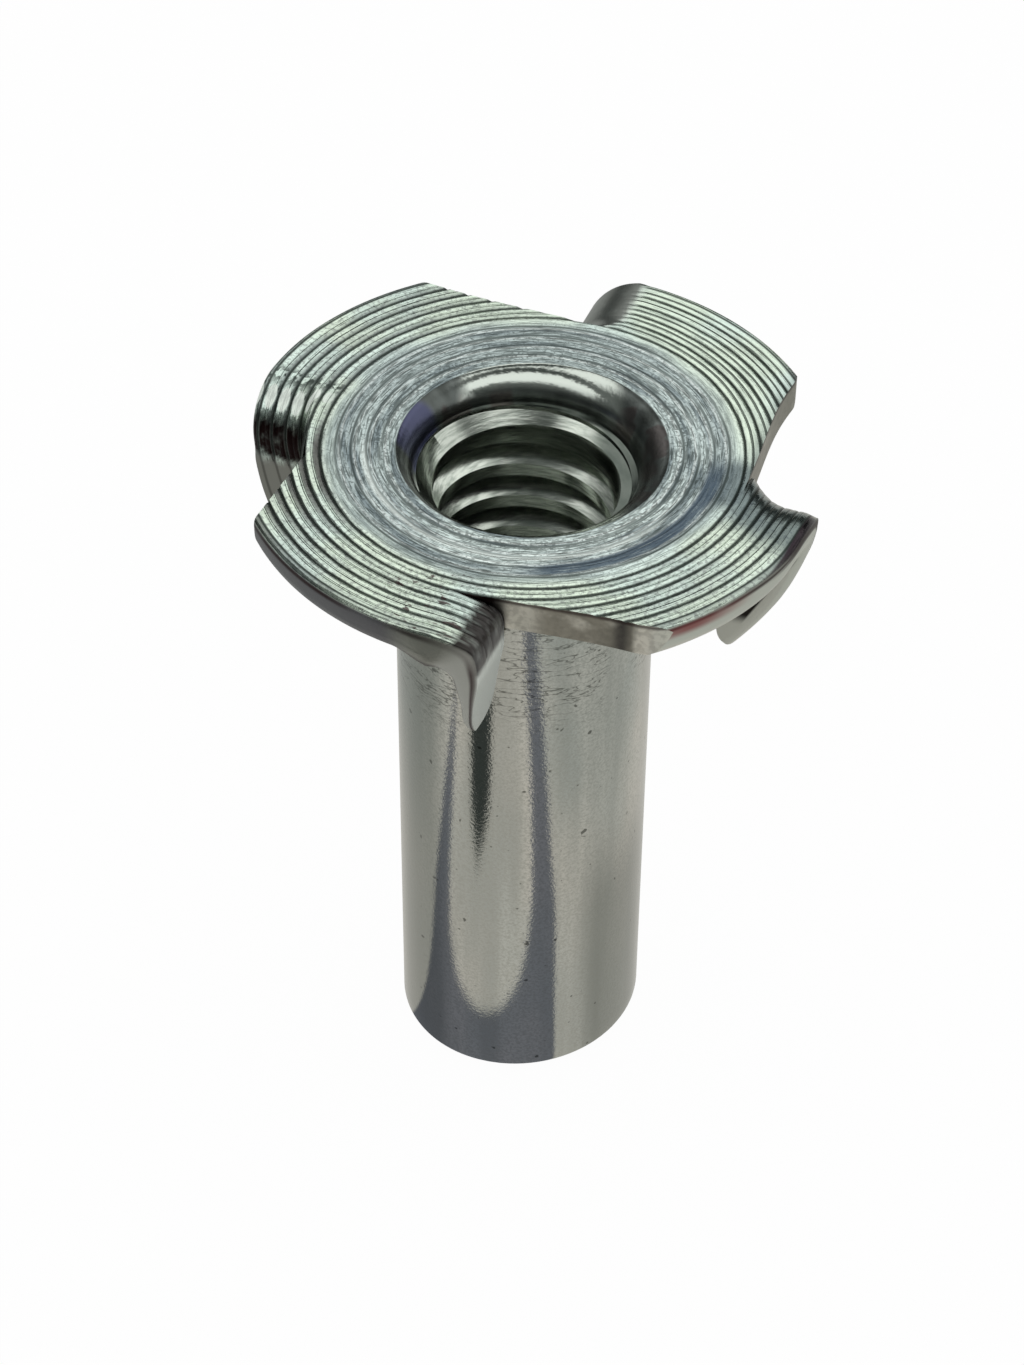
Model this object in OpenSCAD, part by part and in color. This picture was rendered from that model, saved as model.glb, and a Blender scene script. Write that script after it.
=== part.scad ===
// Four-prong tee nut, formed from one piece of steel: a round flange with a
// bell mouth, a plain barrel below it, and four lobes whose ends are sheared
// free and folded down into prongs. The barrel stands on its open end, the
// flange faces up, and the origin is on the axis at that end.
// Lengths are in millimetres and angles in degrees.

/* [Barrel] */
// Height from the barrel's open end to the flange's top face
overall_h = 24; // [14:0.5:40]
// Outside diameter of the barrel
barrel_d = 7.94; // [7.6:0.02:9]
// Diameter of the plain bore, left for the thread crests
bore_d = 5.3; // [4.6:0.05:5.6]
// Rounding of the barrel's outer edge at its open end
end_round = 0.35; // [0.1:0.05:0.6]
// Depth of the lead-in chamfer in the bore at the open end
end_chamfer = 0.5; // [0.2:0.05:1]

/* [Mouth] */
// Diameter of the mouth's straight wall under the bell
throat_d = 6.7; // [6.2:0.05:7]
// Radius of the bell that rolls from the top face into the mouth
bell_r = 1.15; // [0.6:0.05:1.4]
// Height of the straight wall between the bell and the ledge
throat_h = 0.05; // [0.05:0.05:1]
// Width of the flat ledge between the wall and the seat
ledge_w = 0.15; // [0.05:0.05:0.3]
// Angle of the conical seat at the top of the thread, from the horizontal
seat_angle = 40; // [30:1:60]

/* [Flange] */
// Diameter of the flange
flange_d = 17.6; // [16.5:0.1:20]
// Thickness of the flange and the prongs
sheet_t = 1.05; // [0.8:0.05:1.4]
// Rounding of the flange's rim, over and under
rim_round = 0.45; // [0.1:0.05:0.45]
// Fillet between the barrel and the flange's underside
neck_fillet = 0.4; // [0.1:0.05:0.8]

/* [Prongs] */
// Number of lobes, each with one prong
prong_count = 4; // [3:1:4]
// Depth of the prong tips below the flange's top face
prong_drop = 5.9; // [4:0.1:8]
// Outer radius of the fold
fold_r = 1.9; // [1.5:0.05:2.4]
// Distance of each prong's outer face from the axis, across the fold line
fold_offset = 1.35; // [0.8:0.05:1.8]
// Distance of each shear cut from the axis, along the fold line
cut_reach = 6.55; // [5.9:0.05:7]
// Angle by which each shear cut leans towards the axis
cut_skew = 3.5; // [0:0.5:6]
// Width of each prong at its tip
tip_w = 0.6; // [0.3:0.05:1.2]
// Rounding of each lobe's free corner
corner_round = 0.6; // [0.2:0.05:1]

/* [Hidden] */
$fn = 96;
// How far a cutter runs past what it cuts
slack = 1;
// Small overlap that makes two touching shapes one
lap = 0.01;
flange_r = flange_d / 2;
top_z = overall_h;
under_z = top_z - sheet_t;
throat_r = throat_d / 2;
bore_r = bore_d / 2;
throat_z = top_z - bell_r - throat_h;
seat_r = throat_r - ledge_w;
seat_h = (seat_r - bore_r) * tan(seat_angle);
fold_y = fold_offset - fold_r;
fold_z = top_z - fold_r;
// Bending draws the rim in by this much at each end of the fold
rim_draw = 0.03;
// The fold reaches as far out as the rim does where it starts
fold_x = sqrt(flange_r * flange_r - fold_y * fold_y) - rim_draw;
blade_x = fold_x - rim_draw;
// The fold reaches this far inside the shear line, so that it is held along it
fold_bite = 0.15;
fold_in = cut_reach - fold_bite;
// The tongue that runs inside the sheet, from one side of a bend's end to the other
tongue_in = 0.5;
tongue_w = 1;
tongue_run = 0.3;
tongue_t = 0.4 * sheet_t;
blade_h = prong_drop - fold_r;
tip_in = fold_in - blade_h * tan(cut_skew);
tip_x = tip_in + tip_w;
// The prong's outer edge is one arc, centred over the axis, from fold to tip
edge_up = (blade_x * blade_x - tip_x * tip_x - blade_h * blade_h) / (2 * blade_h);
edge_r = sqrt(blade_x * blade_x + edge_up * edge_up);

// Half section of a sheet with a rounded rim: length along X, thickness down
module sheet_section(inner, outer) {
    translate([inner, -sheet_t])
        square([outer - rim_round - inner, sheet_t]);
    translate([outer - rim_round - lap, -sheet_t + rim_round])
        square([rim_round + lap, sheet_t - 2 * rim_round]);
    translate([outer - rim_round, -rim_round])
        circle(r = rim_round);
    translate([outer - rim_round, -sheet_t + rim_round])
        circle(r = rim_round);
}

// Round sheet with its top face at z = 0
module round_sheet(r) {
    rotate_extrude()
        intersection() {
            sheet_section(0, r);
            translate([0, -sheet_t])
                square([r, sheet_t]);
        }
}

// What one shear cut and its fold take out of the flat flange
module fold_gap() {
    intersection() {
        translate([0, fold_y, under_z - slack])
            cube([flange_r + slack, flange_r + slack, sheet_t + 2 * slack]);
        translate([cut_reach, fold_offset, 0])
            rotate([0, 0, cut_skew])
                translate([0, -flange_d, under_z - slack])
                    cube([flange_r, 2 * flange_d, sheet_t + 2 * slack]);
    }
}

// Rounds the sharp corner where a shear cut meets the rim
module corner_trim() {
    reach = cut_reach * cos(cut_skew) + fold_offset * sin(cut_skew);
    mid_x = reach - corner_round;
    hub = flange_r - corner_round;
    mid_y = sqrt(hub * hub - mid_x * mid_x);
    out_x = mid_x * flange_r / hub;
    out_y = mid_y * flange_r / hub;
    rotate([0, 0, cut_skew])
        translate([0, 0, under_z - slack])
            linear_extrude(height = sheet_t + 2 * slack)
                difference() {
                    polygon([
                        [mid_x, mid_y],
                        [reach, mid_y],
                        [reach + slack, mid_y + slack],
                        [out_x, out_y + slack],
                        [out_x, out_y]
                    ]);
                    translate([mid_x, mid_y])
                        circle(r = corner_round);
                }
}

// Quarter turn of sheet from the flange down to the prong
module fold() {
    translate([0, fold_y, fold_z])
        rotate([90, 0, 90])
            rotate_extrude(angle = 90)
                translate([fold_r, 0])
                    mirror([1, -1])
                        sheet_section(fold_in, fold_x);
}

// Tongues inside the sheet that tie the fold to the flange and to its prong
module tongues() {
    translate([fold_in + tongue_in, fold_y - tongue_run, top_z - sheet_t / 2 - tongue_t / 2])
        cube([tongue_w, 2 * tongue_run, tongue_t]);
    translate([fold_in + tongue_in, fold_offset - sheet_t / 2 - tongue_t / 2, fold_z - tongue_run])
        cube([tongue_w, tongue_t, 2 * tongue_run]);
}

// Flat pointed prong below the fold
module blade() {
    intersection() {
        translate([0, fold_offset, fold_z + edge_up])
            rotate([-90, 0, 0])
                round_sheet(edge_r);
        translate([0, fold_offset + slack, 0])
            rotate([90, 0, 0])
                linear_extrude(height = sheet_t + 2 * slack)
                    polygon([
                        [fold_in, fold_z],
                        [tip_in, fold_z - blade_h],
                        [edge_r, fold_z - blade_h],
                        [edge_r, fold_z]
                    ]);
    }
}

// Flat flange with the lobes cut free
module flange() {
    difference() {
        translate([0, 0, top_z])
            round_sheet(flange_r);
        for (i = [0 : prong_count - 1])
            rotate([0, 0, 360 * i / prong_count]) {
                fold_gap();
                corner_trim();
            }
    }
}

// Barrel wall with the fillet that joins it to the flange
module barrel() {
    rotate_extrude()
        difference() {
            union() {
                square([barrel_d / 2, top_z - sheet_t / 2]);
                translate([0, under_z - neck_fillet])
                    square([barrel_d / 2 + neck_fillet, neck_fillet]);
            }
            translate([barrel_d / 2 + neck_fillet, under_z - neck_fillet])
                circle(r = neck_fillet);
            difference() {
                translate([barrel_d / 2 - end_round, 0])
                    square([end_round, end_round]);
                translate([barrel_d / 2 - end_round, end_round])
                    circle(r = end_round);
            }
        }
}

// Bell, straight wall, ledge and conical seat above the bore
module mouth() {
    rotate_extrude() {
        difference() {
            translate([0, top_z - bell_r])
                square([throat_r + bell_r, bell_r + slack]);
            translate([throat_r + bell_r, top_z - bell_r])
                circle(r = bell_r);
        }
        polygon([
            [0, throat_z - seat_h],
            [bore_r, throat_z - seat_h],
            [seat_r, throat_z],
            [throat_r, throat_z],
            [throat_r, top_z - bell_r + lap],
            [0, top_z - bell_r + lap]
        ]);
    }
}

// Straight bore with a chamfer at the open end
module bore() {
    translate([0, 0, -slack])
        cylinder(r = bore_r, h = overall_h);
    translate([0, 0, -lap])
        cylinder(r1 = bore_r + end_chamfer, r2 = bore_r, h = end_chamfer);
}

module tee_nut() {
    color("#b9bfb6")
        difference() {
            union() {
                flange();
                barrel();
                for (i = [0 : prong_count - 1])
                    rotate([0, 0, 360 * i / prong_count]) {
                        fold();
                        tongues();
                        blade();
                    }
            }
            mouth();
            bore();
        }
}

tee_nut();
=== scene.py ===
"""Zinc-plated four-prong tee nut: looks, floor, light and camera.

Sizes are given in millimetres and degrees, and meshes are written in metres.
The flange is worked out as the flat round blank that it is stamped from, with
its rings already turned in it: the blank is slit along four lines, and what
lies beyond each slit is folded down into a prong.
"""
import math
from dataclasses import dataclass
from functools import partial, reduce

import bpy
import bmesh
import numpy as np
from mathutils import Matrix


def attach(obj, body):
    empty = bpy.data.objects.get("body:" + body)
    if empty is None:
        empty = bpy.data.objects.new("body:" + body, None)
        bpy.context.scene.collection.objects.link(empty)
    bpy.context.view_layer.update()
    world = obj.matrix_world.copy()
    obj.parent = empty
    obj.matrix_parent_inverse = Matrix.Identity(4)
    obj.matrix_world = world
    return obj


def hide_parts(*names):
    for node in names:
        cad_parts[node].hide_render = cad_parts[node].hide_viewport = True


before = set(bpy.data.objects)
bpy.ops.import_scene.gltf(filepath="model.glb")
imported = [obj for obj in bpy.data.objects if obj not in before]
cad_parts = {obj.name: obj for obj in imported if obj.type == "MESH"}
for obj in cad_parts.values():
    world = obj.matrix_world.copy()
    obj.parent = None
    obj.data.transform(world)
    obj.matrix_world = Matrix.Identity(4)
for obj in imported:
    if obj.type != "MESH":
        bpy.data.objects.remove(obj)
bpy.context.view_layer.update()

MM = 0.001
TAU = 2 * math.pi

# ---------------------------------------------------------------- sizes
NUT_H = 24.0            # open end of the barrel to the top of the flange
BARREL_R = 3.97
FLANGE_R = 8.78
SHEET = 1.05            # thickness of the flange and the prongs
RIM_OVER = (0.18, 0.25)   # rounding of the flange's rim: in and down from its top
RIM_UNDER = (0.25, 0.80)  # and in and down to its underside
NECK_FILLET = 0.45
PITCH = 1.27            # 20 threads to the inch
CREST_R = 2.66
ROOT_R = 3.175
CREST_HALF = 0.23       # half the height of a crest's flat
ROOT_HALF = 0.09
CREST_TURN = 90 + 21.8  # direction in which a crest lies at CREST_Z
CREST_Z = NUT_H - 3.13
CREASE_R = 4.05         # edge where the flange's face turns into the bell
BELL_R = 1.15
WALL_R = 3.35           # the mouth's wall under the bell
SEAT_FOOT_R = 2.84      # the conical seat ends in a ring above the thread
SEAT_FOOT_Z = NUT_H - 1.5
THREAD_TOP = SEAT_FOOT_Z - 0.04
# what sways round the mouth: its middle, its swing and where it is highest
LEDGE_Z = (NUT_H - 1.14, 0.10, 190)     # foot of the wall under the bell
SEAT_Z = (NUT_H - 1.254, 0.20, 190)     # top of the conical seat
SEAT_R = (3.22, 0.06, 190)
SEAT_STEP = (0.08, 0.06, 80)    # small step at the ledge's inner edge
THREAD_END = 0.5        # the thread stops here, and a chamfer widens the bore
END_BORE_R = 3.25       # to this radius at the open end
RUN_OUT = (22.1, 22.45)  # heights between which the last groove fades out
FACE_ROWS = 42
INNER_ROW = 6.1         # the blank inside this radius has no slit
CONE = 0.032            # the flange rises by this much of its radius,
CONE_R = 6.0            # and is at NUT_H at this one
RING_SHIFT = (0.17, 0.07)   # the rings' centre, from the barrel's axis
BARREL_FLARE = 0.11     # growth of the barrel's radius towards its open end
END_ROUND = 0.14
END_DROP = -0.1         # the barrel's end isn't quite square: its middle's
END_TILT = 0.28         # height, and how far its plane rises and falls
END_FADE = 3.0          # the barrel is true from this height up
TOP = np.array([0, 0, NUT_H])
WELD = 2e-5             # points that are nearer than this become one
SHARP = 38              # edges that turn by more than this stay crisp

RING_PITCH = 0.453
RINGS = [6.286 + RING_PITCH * k for k in range(5)]
RING_DEEP = 0.05
RING_WIDE = 0.042
FINE_RINGS = [4.51, 4.966, 5.335, 5.675, 6.015, 6.50, 6.95, 7.42, 7.90, 8.33]
FINE_DEEP = 0.016
FINE_WIDE = 0.035


def smooth(t):
    """0 below 0 and 1 above 1, with a soft S between them."""
    t = np.clip(t, 0, 1)
    return t * t * (3 - 2 * t)


@dataclass(kw_only=True)
class Prong:
    """One prong. Places on the blank are u along the fold and w across it, from
    the rings' centre, and what lies past the fold's start is farther across.
    Its angles are given in degrees and kept in radians."""
    turn: float             # direction of the fold line, from +X
    slit: tuple             # u and w of the slit's end and of a second point on it
    face: float             # how far across the folded prong's outer face lies
    fold_r: float           # outer radius of the fold, where it is tightest
    ease: float = 1.0       # 1 for a round fold, more for one that begins gently
    sharp: float = 0.0      # 0 for a round outside, 1 for one that comes to a corner
    bend: float = 90        # angle through which the sheet is folded
    root: float = 0.0       # how much farther across the fold starts at the slit's end,
    spread: float = 0.5     # and how far out from there it comes back to its line
    bow: float = 0.0        # how far the middle of the slit bows towards the axis
    draw: float = 0.0       # how far the prong's outer edge is drawn out, at its tip
    torn: float = 0.0       # how far the lobe's cut wall leans back under its top edge
    blunt: float = 0.3      # radius of the lobe's corner beside the slit
    thin: float = 0.0       # share of the sheet's thickness that is lost past the fold
    swell: float = 0.0      # how much the rim's underside is pushed out beside the fold,
    droop: float = 0.0      # how much its top edge is rolled down there
    trim: float = 0.0       # and how much its radius is less there
    tip: tuple = (0.3, 0.15)    # radius of the prong's tip, on its outer and inner face
    belly: float = 0.0      # how far the prong's cut edge bows out past the slit
    rubbed: tuple = (0, 1)      # where past the fold's start the rings begin and end to fade
    painted_shade: tuple = (0, 0, 0)     # where past it painted shade darkens the sheet, and how dark

    def __post_init__(self):
        self.turn = math.radians(self.turn)
        self.bend = math.radians(self.bend)
        (u0, w0), (u1, w1) = self.slit
        run = math.hypot(u1 - u0, w1 - w0)
        self.near = (u0 * (w1 - w0) - w0 * (u1 - u0)) / run
        self.lean = math.atan2(-(u1 - u0), w1 - w0)
        self.end_r = math.hypot(u0, w0)
        # the sheet's middle along the fold, by steps of its length
        self.length = self.bend * self.ease * (self.fold_r - SHEET / 2)
        self.steps = np.linspace(0, self.length, 200)
        turns = self.bend * (self.steps / self.length) ** self.ease
        half = (turns[1:] + turns[:-1]) / 2
        self.across = np.concatenate([[0], np.cumsum(np.cos(half))]) * self.steps[1]
        self.down = np.concatenate([[0], np.cumsum(np.sin(half))]) * self.steps[1]
        self.start = self.face - self.across[-1] - SHEET / 2 * math.sin(self.bend)

    def start_at(self, r):
        """How far across the fold starts on the ring of radius r."""
        t = np.clip((r - self.end_r) / self.spread, 0, 1)
        return self.start + self.root * (1 - t) ** 2.5

    def fold_angle(self, r):
        """Angle at which the ring of radius r meets the start of the fold."""
        return np.arcsin(self.start_at(r) / r)

    def arch(self, r, high):
        """Turn of a cut bowed by high between the slit's end and the rim."""
        along = np.clip((r - self.end_r) / (FLANGE_R - self.end_r), 0, 1)
        return high * np.sin(math.pi * along ** 0.7) / (0.35 * r)

    def slit_angle(self, r):
        """Angle at which the ring of radius r meets the slit."""
        return self.lean + np.arccos(np.minimum(self.near / r, 1.0)) + self.arch(r, self.bow)

    def lobe_angle(self, r, z):
        """The same on the lobe's side of the slit, z below its top face."""
        back = self.torn * smooth((r - self.end_r) / 1.2) * np.clip(-z / SHEET, 0, 1)
        return self.slit_angle(r) + (back + corner(r, self.blunt)) / r

    def prong_angle(self, r, z):
        """The same on the prong's side, which ends in a rounded tip."""
        outer, inner = self.tip
        size = outer + (inner - outer) * np.clip(-z / SHEET, 0, 1)
        return self.slit_angle(r) + self.arch(r, self.belly) - corner(r, size) / r

    def pushed(self, u, w, z):
        """Height of a place on the blank beside the fold: the rim's underside
        is swollen and its top edge rolled down, by nothing farther off."""
        under = np.clip(-z / SHEET, 0, 1)
        past = w - self.start
        ending = 1 - smooth((past - 0.6) / 1.6)
        swell = smooth((past + 1.0) / 1.2) * ending
        swell = self.swell * swell * smooth((u - 6.8) / 1.2) * under
        droop = smooth((past + 3.0) / 3.0) * ending * (u > 0)
        droop = self.droop * droop * smooth((np.hypot(u, w) - FLANGE_R + 0.45) / 0.45)
        return z - swell - droop * (1 - under)

    def trimmed(self, r, angle):
        """Radius of a place on the blank, less by trim at the rim beside the fold."""
        past = r * np.sin(angle) - self.start
        share = smooth((past + 2.0) / 2.5) * (1 - smooth((past - 3.0) / 2.0))
        return r - self.trim * share * smooth((r - 7.9) / 0.8) * (np.cos(angle) > 0)

    def fold(self, r, u, w, z):
        """The blank's point (u, w, z), folded: past the start of the fold the
        sheet's middle keeps its length along a curve, and then runs straight."""
        past = np.maximum(w - self.start_at(r), 0)
        deep = -z * (1 - self.thin * smooth((past - 0.8) / 3.0))
        low, high = self.rubbed
        deep = deep * np.where(z > -0.1, 1 - smooth((past - low) / (high - low)), 1)
        deep = deep + z - self.pushed(u, w, z)
        turn = self.bend * np.minimum(past / self.length, 1) ** self.ease
        straight = np.maximum(past - self.length, 0)
        half = self.bend / 2
        off = np.sqrt((turn - half) ** 2 + 0.02)
        edge = 1 / np.cos(np.maximum(half - off, 0)) - 1
        out = SHEET / 2 - deep + self.sharp * self.fold_r * edge * np.clip(1 + z / SHEET, 0, 1)
        w_new = self.start_at(r) + np.interp(past, self.steps, self.across)
        z_new = -SHEET / 2 - np.interp(past, self.steps, self.down)
        w_new = w_new + straight * np.cos(turn) + out * np.sin(turn)
        z_new = z_new - straight * np.sin(turn) + out * np.cos(turn)
        outer = np.clip((u - self.near) / (FLANGE_R - self.near), 0, 1)
        u = u + self.draw * outer * (past / 4.5) ** 2
        return u, np.where(past > 0, w_new, w), np.where(past > 0, z_new, self.pushed(u, w, z))

    def wear_and_shade(self, r, w):
        """How rubbed the folded sheet is, and how dark its painted shade, across at w."""
        past = np.maximum(w - self.start_at(r), 0)
        low, high = self.rubbed
        rubbed = smooth((past - low) / (high - low))
        low, high, dark = self.painted_shade
        painted_shade = smooth((past - low) / 0.12) * smooth((high - past) / 0.15)
        return np.stack([rubbed, painted_shade * dark, 0 * past], -1)


def corner(r, size):
    """How far a rounded corner of that radius draws back at radius r."""
    t = np.clip((r - (FLANGE_R - size)) / size, 0, 1)
    return size * (1 - np.sqrt(1 - t * t))


PRONGS = [
    Prong(turn=0, slit=((6.42, 0.45), (6.31, 5.60)), face=1.42, fold_r=1.80, ease=1.3, bend=92,
          root=1.15, spread=1.4, bow=0.12, draw=-0.2, torn=-0.02, thin=0.05, droop=0.2, trim=0.09,
          tip=(0.85, 0.7), belly=0.16, rubbed=(1.2, 1.8)),
    Prong(turn=90, slit=((6.20, 0.80), (6.15, 5.73)), face=1.57, fold_r=2.25, root=0.5, spread=0.8,
          bow=0.05, draw=-0.2, rubbed=(0.1, 0.4), painted_shade=(0.25, 2.6, 0.6)),
    Prong(turn=180, slit=((6.04, 2.90), (6.10, 5.50)), face=1.16, fold_r=1.60, root=2.5, draw=0.7,
          blunt=0.08, trim=0.03, rubbed=(2.1, 2.6), painted_shade=(1.12, 2.3, 1.0)),
    Prong(turn=270, slit=((6.66, 1.30), (6.24, 5.50)), face=1.73, fold_r=1.60, sharp=0.55, bend=103,
          bow=0.08, torn=-0.1, blunt=0.45, thin=0.6, swell=0.42, tip=(1.1, 0.5), belly=0.35,
          rubbed=(0.5, 1.1), painted_shade=(0.55, 1.55, 0.95)),
]


# ---------------------------------------------------------------- blank
def relief(r):
    """Depth of the turned rings at radius r: a row of bell-shaped grooves,
    deep ones one pitch apart and fine ones between them."""
    out = np.zeros_like(r)
    for g in RINGS:
        out -= RING_DEEP * np.exp(-((r - g) / RING_WIDE) ** 2)
    for g in FINE_RINGS:
        out -= FINE_DEEP * np.exp(-((r - g) / FINE_WIDE) ** 2)
    return out


def ring_rows():
    """Radii of the blank's rows from INNER_ROW to the rim's rounding: close
    together in each groove, and one at each slit's nearest point."""
    steps = np.array([-0.11, -0.06, -0.03, 0.0, 0.03, 0.06, 0.11, 0.165, 0.215, 0.265])
    rows = np.concatenate([[INNER_ROW], *[g + steps for g in RINGS]])
    rows = rows[(rows >= INNER_ROW) & (rows < FLANGE_R - RIM_OVER[0] - 0.01)]
    return np.concatenate([np.unique(np.round(rows, 4)), [FLANGE_R - RIM_OVER[0]]])


ROWS = ring_rows()
for prong in PRONGS:
    prong.row = int(np.argmin(abs(ROWS - prong.end_r)))
    prong.end_r = float(ROWS[prong.row])
    prong.end = float(prong.slit_angle(prong.end_r))

RIM_STEPS = 7
rim_turn = np.radians(np.linspace(90, -90, 2 * RIM_STEPS + 1))[1:-1]
rim_in = np.where(rim_turn > 0, RIM_OVER[0], RIM_UNDER[0])
rim_down = np.where(rim_turn > 0, RIM_OVER[1], RIM_UNDER[1])
rim_r = FLANGE_R - rim_in * (1 - np.cos(rim_turn))
rim_z = -RIM_OVER[1] + rim_down * np.sin(rim_turn)
under = np.minimum(ROWS[::-1], FLANGE_R - RIM_UNDER[0])
SECTION_R = np.concatenate([ROWS, rim_r, under])
SECTION_Z = np.concatenate([relief(ROWS), rim_z, -SHEET + 0 * ROWS])
LAST = len(SECTION_R) - 1
HALF = LAST // 2

COLS_ROOT = 6
COLS_LOBE = 63
COLS_PRONG = 54
WALL_STEPS = 6


class Skin:
    """Gathers grids of points into one closed mesh."""

    def __init__(self):
        self.points = []
        self.flats = []
        self.wear_and_shades = []
        self.quads = []
        self.kinds = []
        self.count = 0

    def add(self, points, flat, kind, wear_and_shade=(0, 0, 0)):
        """A grid of points, rows by columns, with its place on the flat
        blank, the number of its material, and its wear and painted shade."""
        rows, cols = points.shape[:2]
        at = self.count + np.arange(rows * cols).reshape(rows, cols)
        quad = np.stack([at[:-1, :-1], at[:-1, 1:], at[1:, 1:], at[1:, :-1]], -1).reshape(-1, 4)
        self.points.append(points.reshape(-1, 3))
        self.flats.append(np.broadcast_to(flat, points.shape).reshape(-1, 3))
        self.wear_and_shades.append(np.broadcast_to(wear_and_shade, points.shape).reshape(-1, 3))
        self.quads.append(quad)
        self.kinds.append(np.full(len(quad), kind))
        self.count += rows * cols

    def tris(self, fine, coarse, flat_fine, flat_coarse, kind):
        """Joins a ring of points to one with a third as many."""
        n = len(coarse) - 1
        first = self.count
        last = first + len(fine)
        k = np.arange(n)
        f = first + 3 * k
        c = last + k
        fans = [(f, f + 1, c, c), (f + 1, f + 2, c + 1, c), (f + 2, f + 3, c + 1, c + 1)]
        self.points += [fine, coarse]
        self.flats += [flat_fine, flat_coarse]
        self.wear_and_shades += [0 * fine, 0 * coarse]
        for fan in fans:
            self.quads.append(np.stack(fan, -1))
            self.kinds.append(np.full(n, kind))
        self.count += len(fine) + len(coarse)

    def mesh(self, name, materials):
        """Welds what lies at one place, drops what has shrunk to nothing, and
        writes the mesh in metres with its faces outward."""
        points = np.concatenate(self.points)
        flats = np.concatenate(self.flats)
        wear_and_shades = np.concatenate(self.wear_and_shades)
        quads = np.concatenate(self.quads)
        kinds = np.concatenate(self.kinds)
        key = np.round(points / WELD).astype(np.int64)
        _, first, same = np.unique(key, axis=0, return_index=True, return_inverse=True)
        worst = np.zeros((len(first), 3))
        np.maximum.at(worst, same.reshape(-1), wear_and_shades)
        points, flats = points[first], flats[first]
        quads = same.reshape(-1)[quads]
        keep = quads != np.roll(quads, 1, axis=1)
        sides = keep.sum(1)
        whole = (sides >= 3) & (quads[:, 0] != quads[:, 2]) & (quads[:, 1] != quads[:, 3])
        quads, keep, kinds, sides = quads[whole], keep[whole], kinds[whole], sides[whole]
        mesh = bpy.data.meshes.new(name)
        mesh.vertices.add(len(points))
        mesh.vertices.foreach_set("co", (points * MM).astype(np.float32).ravel())
        mesh.loops.add(int(sides.sum()))
        mesh.loops.foreach_set("vertex_index", quads[keep].astype(np.int32))
        mesh.polygons.add(len(quads))
        starts = np.concatenate([[0], np.cumsum(sides)[:-1]]).astype(np.int32)
        mesh.polygons.foreach_set("loop_start", starts)
        mesh.polygons.foreach_set("material_index", kinds.astype(np.int32))
        for material in materials:
            mesh.materials.append(material)
        mesh.update(calc_edges=True)
        blank = mesh.attributes.new("blank", "FLOAT_VECTOR", "POINT")
        blank.data.foreach_set("vector", (flats * MM).astype(np.float32).ravel())
        wear_and_shade = mesh.attributes.new("wear_and_shade", "FLOAT_VECTOR", "POINT")
        wear_and_shade.data.foreach_set("vector", worst.astype(np.float32).ravel())
        work = bmesh.new()
        work.from_mesh(mesh)
        bmesh.ops.recalc_face_normals(work, faces=work.faces)
        work.to_mesh(mesh)
        work.free()
        mesh.polygons.foreach_set("use_smooth", np.ones(len(mesh.polygons), bool))
        mesh.set_sharp_from_angle(angle=math.radians(SHARP))
        return mesh


def lift(r):
    """Rise of the flange at radius r: a shallow cone outside the mouth."""
    return CONE * (r - CONE_R)


def polar(r, angle, z):
    """Points from polar places about the axis."""
    x, y = r * np.cos(angle), r * np.sin(angle)
    return np.stack([x, y, z + 0 * x], -1)


def lay_flat(angle, r, z):
    """Points of the blank where it stays flat, from their polar places on it."""
    rise = lift(r)
    for prong in PRONGS:
        z = prong.pushed(r * np.cos(angle - prong.turn), r * np.sin(angle - prong.turn), z)
    for prong in PRONGS:
        r = prong.trimmed(r, angle - prong.turn)
    return polar(r, angle, NUT_H + z + rise) + (*RING_SHIFT, 0)


def lay_folded(prong, angle, r, z):
    """Points of a prong once it is folded down, from their polar places on
    the blank, with the angle from its own line."""
    u, w = r * np.cos(angle), r * np.sin(angle)
    held = np.minimum(w, prong.start_at(r))
    rise = lift(np.hypot(u, held))
    less = prong.trimmed(r, angle) / r - 1
    less_u, less_w = less * u, less * held
    u, w, z = prong.fold(r, u, w, z)
    u, w = u + less_u, w + less_w
    c, s = math.cos(prong.turn), math.sin(prong.turn)
    x = u * c - w * s + RING_SHIFT[0]
    y = u * s + w * c + RING_SHIFT[1]
    return np.stack([x, y, NUT_H + z + rise + 0 * x], -1)


def between(low, high, count):
    """count + 1 even steps from one column of numbers to another."""
    t = np.linspace(0, 1, count + 1)
    return low[:, None] + (high - low)[:, None] * t


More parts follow.
